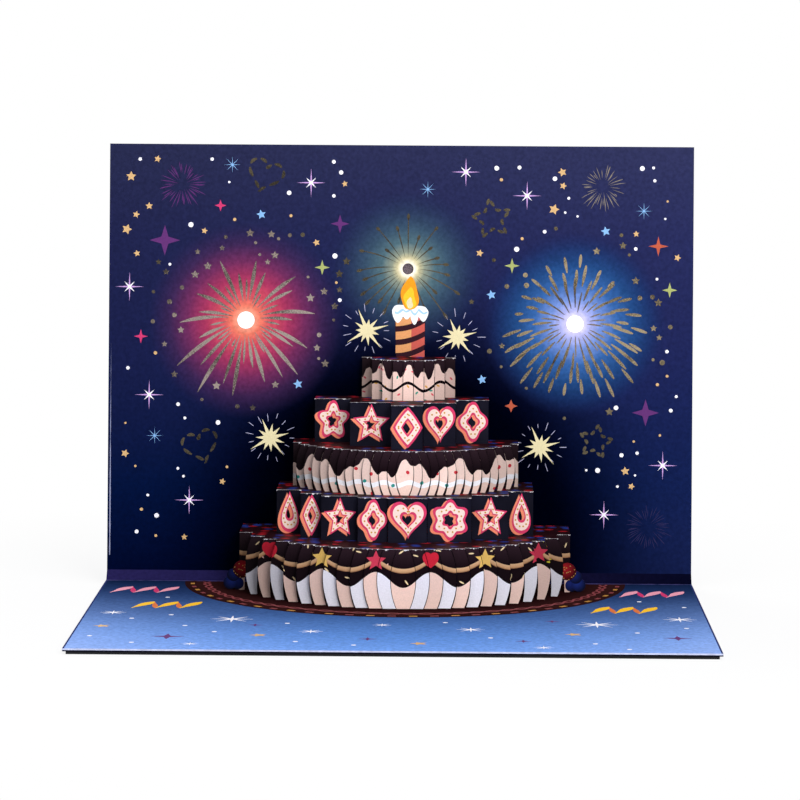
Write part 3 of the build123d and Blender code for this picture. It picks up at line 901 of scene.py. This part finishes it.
# Inside a heart, the cube of (across squared plus up squared less 1) is under across squared by up cubed.
heart_size = 2.3
side, rise = (node("*", way, 1 / heart_size) for way in (beside, above))
side_square, rise_square = (node("*", way, way) for way in (side, rise))
ring = node("+", side_square, node("-", rise_square, 1.0))
ring_cube = node("*", ring, node("*", ring, ring))
lobe = node("*", side_square, node("*", rise, rise_square))
heart = node("<", ring_cube, lobe)
heart_here = node("*", heart, node("-", 1.0, star_turn))
front = node("Mix", heart_here, front, "#c92438")
# A star's tenth part is a triangle, so its angle is folded ten times and set against one straight side.
star_radius = 3.4
waist = 0.46
fold_angle = node("Math:PINGPONG", node("Math:ARCTAN2", beside, above), np.pi / 5)
along = node("*", node("Math:COSINE", fold_angle), waist * np.sin(np.pi / 5))
aside = node("*", node("Math:SINE", fold_angle), 1 - waist * np.cos(np.pi / 5))
from_middle = node("VectorMath:LENGTH", node("CombineXYZ", beside, above))
reach = node("*", from_middle, node("+", along, aside))
star = node("<", reach, star_radius * waist * np.sin(np.pi / 5))
star_ink = node("Mix", coral_turn, "#e6bb66", "#c93a52")
front = node("Mix", node("*", star, star_turn), front, star_ink)
# Fruit printed on the round ends of the sheet: place out from the end slat's edge, height, radius, and
# the colours of its skin in light and shade. The last, over the others, is a red one with seeds.
fruits = (
    (0.4, 2.2, 2.0, "#1c2a78", "#0a0f30"),
    (3.0, 2.4, 2.2, "#22358e", "#0a0f30"),
    (1.9, 5.0, 2.1, "#1c2a78", "#0a0f30"),
    (-0.9, 6.9, 2.9, "#b3202a", "#3c0a12"),
)
end_edge = (bottom_slats + 0.5) * bottom_pitch
end_depth = 28.0
beyond = node("-", node("Math:ABSOLUTE", across), end_edge)
at_end = node("CombineXYZ", beyond, high)
end_slat = node("<", out, end_depth)
for aside, height, radius, skin, shade in fruits:
    apart = node("VectorMath:DISTANCE", at_end, (aside, height, 0))
    fruit = node("*", node("<", apart, radius + 0.05), end_slat)
    lit = node("VectorMath:DISTANCE", at_end, (aside - 0.3 * radius, height + 0.35 * radius, 0))
    glow = node("MapRange", lit, 0.0, 1.3 * radius, 0.0, 1.0)
    front = node("Mix", fruit, front, node("ValToRGB", glow, stops=((0.1, skin), (1.0, shade))))
seed, seed_ink = sprinkles(node, beyond, high, 1.3, 0.45, 0.3, (0.0, "#d8a860"))
front = node("Mix", node("*", seed, fruit), front, seed_ink)
lay_print(node, normal, place, across, bottom_reach, slat_tone(node, front, number))
dress(bottom_card, "bottom_tier")

# Lower and upper sign tiers: one die-cut sheet each, with flat panels side by side at several depths.
# Printed night blue, nearly black, each panel carrying one lit-sign figure.
sign_h = 14.6
middle_h = 14.5
sign_cloud = 9.0
lower_sign_floor = bottom_floor + bottom_h
lower_sign_depth = 47.8
lower_sign_reach = 46.5
upper_sign_floor = lower_sign_floor + sign_h + middle_h
upper_sign_depth = 34.5
upper_sign_fall = 0.95
sign_rows = {
    "lower": (lower_sign_floor, (8.4, 7.1, 12.2, 10.0, 13.0, 14.7, 12.3, 8.5), 0.0),
    "upper": (upper_sign_floor, (12.3, 14.0, 10.7, 11.0, 11.1), -1.5),
}
sign_card, node, normal, place, across, _, _ = cake_sheet("printed_sign_tier", lower_sign_floor)
dusk = node("TexNoise", place, 1 / sign_cloud, 2.0)
sign_ink = node("ValToRGB", dusk, stops=((0.3, "#0d0c18"), (0.7, "#191827")))
lay_print(node, normal, place, across, lower_sign_reach, sign_ink)
dress(sign_card, "lower_sign_tier", "upper_sign_tier")


def wall_y(z):
    """Where the back panel's face, carried down to height z, stands."""
    return wall_foot[1] + (z - wall_foot[2]) * np.tan(lean)


def on_front(low):
    """Gives the function that puts points (across the cake, up, out from the wall) on a tier's fronts."""

    def put(points, lift=0.0):
        across, up, out = np.moveaxis(np.asarray(points, float), -1, 0)[..., None]
        foot = (cake_x + across) * np.array((1, 0, 0)) + (wall_y(low) - out) * np.array((0, 1, 0))
        return (foot + np.array((0, 0, low)) + up * wall_up - lift * wall_back) * mm

    return put


def sign_panels(widths, shift, row):
    """Left and right edges of a row of panels from the cake's middle, and how far each is set out: on an
    ellipse in the lower row, and less by its distance from the middle in the upper one."""
    right = shift - sum(widths) / 2 + np.cumsum(widths)
    left = right - widths
    middle = (left + right) / 2
    if row == "lower":
        return left, right, lower_sign_depth * np.sqrt(1 - (middle / lower_sign_reach) ** 2)
    return left, right, upper_sign_depth - upper_sign_fall * np.abs(middle)


# Lit-sign figures: a thick cream tube with gold bulbs, a pink rim, and a coral side seen from below left.
# Offset inks laid over each other, one figure to a panel, as wide as the panel lets it be.
figure_h = 13.7
figure_w = 13.8
figure_margin = 0.9
figure_up = 7.3
figure_points = 120
bulb_radius = 0.3
bulb_share = 0.65
bulb_step = 8


def lobed(count, depth):
    """Closed path whose radius swells and shrinks count times a turn."""

    def path(turn):
        angle = 2 * np.pi * turn
        return polar(angle + np.pi / 2, 1 - depth + depth * np.cos(count * angle))

    return path


def lozenge(turn):
    """Upright square on its corner, its sides bowed out a little."""
    swing = polar(2 * np.pi * turn, 1.0)
    return np.sign(swing) * np.abs(swing) ** 1.75


def drop(turn):
    """Drop with its point up: a sine across that is squeezed towards the top."""
    angle = 2 * np.pi * turn
    return spread(-np.sin(angle) * np.sin(angle / 2) ** 1.4 * 1.15, np.cos(angle))


def set_out(flat, outs):
    """Points of flat figures, each with how far its panel is set out from the wall."""
    return spread(*np.moveaxis(flat, -1, 0), outs[:, None])


figures = {
    "lower": (drop, lozenge, star_path, lobed(4, 0.14), heart_path, lobed(6, 0.12), star_path, drop),
    "upper": (lobed(5, 0.18), star_path, lozenge, heart_path, lobed(4, 0.14)),
}
# Each layer: its outer and inner edge as shares of the figure, where it is moved to, and its ink.
tube_move = (0.25, 0.1)
figure_layers = (
    ("side", 1.0, 0.34, (-0.65, -0.35), ink("sign_coral_ink", "#ee8a6c")),
    ("rim", 1.0, 0.34, tube_move, ink("sign_pink_ink", "#d63a66")),
    ("face", 0.84, 0.46, tube_move, ink("cream_ink", "#f6dcd2")),
)
bulb_ink = ink("bulb_ink", "#c9952e")
figure_turn = np.arange(figure_points) / figure_points
for row, (low, widths, shift) in sign_rows.items():
    left, right, outs = sign_panels(widths, shift, row)
    size = spread(np.minimum(widths, figure_w) - figure_margin, figure_h)
    lines = np.stack([path(figure_turn) for path in figures[row]]) * size[:, None] / 2
    middle = spread((left + right) / 2, figure_up)[:, None]
    for number, (layer, outer, inner, move, paint) in enumerate(figure_layers):
        sides = [set_out(lines * share + middle + move, outs) for share in (inner, outer)]
        bands(f"{row}_sign_{layer}", sides, paint, 1 + number, on_front(low), "sign_paper", closed=True)
    bulbs = (lines * bulb_share + middle + tube_move)[:, ::bulb_step]
    discs = set_out(rounds(bulbs.reshape(-1, 2), bulb_radius), np.repeat(outs, bulbs.shape[1]))
    spots(f"{row}_sign_bulbs", discs, bulb_ink, 4, on_front(low), "sign_paper")

# Middle tier: one die-cut sheet with 27 narrow slats, glued on the lower sign's top.
# Pale pink icing, chocolate poured over its upper edge, a white piped band and sugar dots.
middle_floor = lower_sign_floor + sign_h
middle_slats = 13
middle_pitch = 2.83
middle_depth = 39.5
middle_reach = 39.0
middle_icing = "#efd0c5"


def ripple(node, across, height, *waves, curl="LINEAR"):
    """Height of a line that ripples across the cake: a sum of sines of (wavelength, swing, start), each
    left as it is by a linear curl, or given broad ends by a smooth one."""
    line = height
    for length, swing, start in waves:
        sine = node("Math:SINE", node("Math:MULTIPLY_ADD", across, 2 * np.pi / length, start))
        wave = node("MapRange", sine, -1.0, 1.0, -swing, swing, interpolation_type=curl)
        line = node("+", wave, line)
    return line


middle_card, node, normal, place, across, high, out = cake_sheet("printed_middle_tier", middle_floor)
piped = node("Math:COMPARE", high, ripple(node, across, 3.7, (8.5, 0.55, 0.4)), 0.8)
front = node("Mix", piped, middle_icing, "#f5f3fa")
sugars = ((0.0, "#c8323e"), (0.35, "#2f8f8a"), (0.7, middle_icing))
dot, sugar = sprinkles(node, across, high, 6.6, 1.3, 1.1, *sugars)
front = node("Mix", dot, front, sugar)
pour_edge = ripple(node, across, 8.8, (15.6, 2.1, 0.9), (6.3, 1.1, 2.0), curl="SMOOTHSTEP")
poured = node(">", high, pour_edge)
front = node("Mix", poured, front, glaze(node, high, middle_h))
number = slat_number(node, across, out, middle_depth, middle_reach, middle_pitch)
lay_print(node, normal, place, across, middle_reach, slat_tone(node, front, number))
dress(middle_card, "middle_tier")

# Top tier: one small die-cut sheet with nine straight slats, glued on the upper sign's top.
# Pale pink icing under long chocolate drips, with one dark piped line.
top_floor = upper_sign_floor + sign_h
top_h = 13.5
top_slats = 4
top_pitch = 3.55
top_depth = 16.5
top_reach = 14.6
top_shift = 0.7
top_half = 16.0
top_card, node, normal, place, across, high, out = cake_sheet("printed_top_tier", top_floor)
sugars = ((0.0, "#d9a24a"), (0.3, "#e05a6a"), (0.6, "#3f9a86"))
dot, sugar = sprinkles(node, across, high, 4.2, 1.2, 0.6, *sugars)
front = node("Mix", dot, "#eecdc3", sugar)
piped = node("Math:COMPARE", high, ripple(node, across, 4.6, (11.0, 1.4, 1.2)), 0.5)
pour_edge = ripple(node, across, 9.4, (4.7, 1.5, 0.3), (10.3, 1.2, 1.0), curl="SMOOTHSTEP")
dark = node("Math:MAXIMUM", piped, node(">", high, pour_edge))
front = node("Mix", dark, front, glaze(node, high, top_h))
number = slat_number(node, across, out, top_depth, top_reach, top_pitch)
lay_print(node, normal, place, across, top_half, slat_tone(node, front, number))
dress(top_card, "top_tier")

# Worn folds: along every top fold the ink has cracked, and white paper fibres show in a broken line.
# A ribbon bent over the fold, its two sides ragged, a few tenths of a millimetre wide.
fold_points = 26
least_wear = 0.012
most_wear = 0.48
# Cracked paper: dull white fluff, greyer between its fibres.
fibre, _ = mottled("cracked_paper_fold", 0.25, 0.02, ((0.3, "#b9b3ba"), (0.7, "#f4f1f4")), 0.9)


def worn_folds(name, left, right, out, high, slot):
    """Ragged ribbons over the folds of a tier: for each slat, points below, on and behind the fold line,
    with widths from smoothed noise that seldom rises above nothing."""
    across = cake_x + left[:, None] + (right - left)[:, None] * np.linspace(0, 1, fold_points)
    fold = spread(across, (wall_y(high) - out)[:, None], high)
    rough = strew.normal(size=(2, len(left), fold_points + 2))
    rough = (rough[..., :-2] + rough[..., 1:-1] + rough[..., 2:]) / 3
    below, behind = least_wear + most_wear * np.clip(rough - 0.3, 0, 1)[..., None]
    lift_out = -wall_back * film_t
    lift_up = np.array((0, 0, film_t))
    front, back = fold - below * wall_up + lift_out, fold + behind * (0, 1, 0) + lift_up
    lines = np.stack((front, fold + lift_out + lift_up, back), 2)
    grid = np.arange(len(left) * fold_points * 3).reshape(len(left), fold_points, 3)
    corners = grid[:, :-1, :-1], grid[:, 1:, :-1], grid[:, 1:, 1:], grid[:, :-1, 1:]
    faces = np.stack(corners, -1).reshape(-1, 4).tolist()
    lay(name, lines * mm, faces, fibre, slot)


def slat_edges(slats, pitch, depth, reach, shift=0.0):
    """Left and right edges of a row of slats from the cake's middle, and how far each is set out: they
    stand on an ellipse."""
    middle = np.arange(-slats, slats + 1) * pitch
    return middle + shift - pitch / 2, middle + shift + pitch / 2, depth * np.sqrt(1 - (middle / reach) ** 2)


slat_rows = {
    "bottom": ((bottom_slats, bottom_pitch, bottom_depth, bottom_reach), bottom_floor + bottom_h),
    "middle": ((middle_slats, middle_pitch, middle_depth, middle_reach), middle_floor + middle_h),
    "top": ((top_slats, top_pitch, top_depth, top_reach, top_shift), top_floor + top_h),
}
for row, (sizes, high) in slat_rows.items():
    worn_folds(f"worn_{row}_folds", *slat_edges(*sizes), high, "cake_paper")
for row, (low, widths, shift) in sign_rows.items():
    worn_folds(f"worn_{row}_sign_folds", *sign_panels(widths, shift, row), low + sign_h, "sign_paper")

# Studio: a white sweep under the card, soft lamps round it, and the camera at the photograph's place.
# The floor is white to the camera and still takes the card's shadow.
floor_half = 4.0
floor_drop = 0.05
corners = floor_half * np.array(((-1, -1), (1, -1), (1, 1), (-1, 1)))
floor_points = spread(*corners.T, -floor_drop * mm)
floor_mesh = bpy.data.meshes.new("studio_floor")
floor_mesh.from_pydata(floor_points.tolist(), [], [(0, 1, 2, 3)])
floor = bpy.data.objects.new("studio_floor", floor_mesh)
bpy.context.scene.collection.objects.link(floor)


def seen(node):
    """1 where the camera looks, straight or by way of metal or glass, and 0 for other light."""
    rays = node("LightPath")
    mirrored = node("Math:MAXIMUM", (rays, "Is Camera Ray"), (rays, "Is Glossy Ray"))
    return node("Math:MAXIMUM", mirrored, (rays, "Is Transmission Ray"))


# White paper sweep: plain and bright, a little greyer under the card, where its shadow falls.
sweep, node, _, place = blank("white_sweep")
fade = node("MapRange", node("VectorMath:LENGTH", place), 100.0, 300.0, 0.84, 1.0)
white_share = node("*", fade, seen(node))
white = node("Emission", "#ffffff", 1.0)
node("OutputMaterial", node("MixShader", white_share, node("BsdfDiffuse", "#f2f2f4"), white))
floor_mesh.materials.append(sweep)

# Studio air: white to the camera, and a low even light on the card.
ambient = 0.17
world = bpy.data.worlds.new("studio_air")
bpy.context.scene.world = world
world.use_nodes = True
world.node_tree.nodes.clear()
node = partial(add, world.node_tree)
strength = node("MapRange", seen(node), 0.0, 1.0, ambient, 1.0)
node("OutputWorld", node("Background", "#ffffff", strength))

# Each lamp: its place and size in metres, and its power in watts. All look at the cake.
lamps = {
    "softbox_above": ((0.1, -0.3, 1.1), 0.8, 7.0),
    "softbox_front": ((0.5, -1.4, 0.75), 0.5, 14.5),
    "softbox_left": ((-0.9, -1.0, 0.6), 0.5, 1.5),
    "softbox_right": ((0.9, -0.9, 0.6), 0.5, 4.0),
    "softbox_back": ((-0.5, 1.3, 0.8), 0.8, 9.0),
}
lit_place = Vector((0, 0, 0.05))
for name, (spot, size, power) in lamps.items():
    lamp = bpy.data.lights.new(name, "AREA")
    lamp.size = size
    lamp.energy = power
    lamp_object = bpy.data.objects.new(name, lamp)
    lamp_object.location = spot
    lamp_object.rotation_mode = "QUATERNION"
    lamp_object.rotation_quaternion = (lit_place - Vector(spot)).to_track_quat("-Z", "Y")
    bpy.context.scene.collection.objects.link(lamp_object)

# Camera: its place, turn and focal length were fitted to the corners of the card's two panels.
camera_place = np.array((15.218, -1189.07, 182.38)) * mm
yaw = -0.0121
pitch = 0.0941
roll = 0.0061
focal_px = 3694.342
picture_px = 800
forward = np.array((np.sin(yaw) * np.cos(pitch), np.cos(yaw) * np.cos(pitch), -np.sin(pitch)))
level = np.array((np.cos(yaw), -np.sin(yaw), 0))
upright = np.cross(level, forward)
right = np.cos(roll) * level + np.sin(roll) * upright
top = np.cos(roll) * upright - np.sin(roll) * level
camera = bpy.data.cameras.new("camera")
camera.sensor_width = 36.0
camera.lens = camera.sensor_width * focal_px / picture_px
camera_object = bpy.data.objects.new("camera", camera)
turn = np.eye(4)
turn[:3, :] = np.stack((right, top, -forward, camera_place), 1)
camera_object.matrix_world = Matrix(turn.tolist())
bpy.context.scene.collection.objects.link(camera_object)
bpy.context.scene.camera = camera_object
bpy.context.scene.view_settings.view_transform = "Standard"
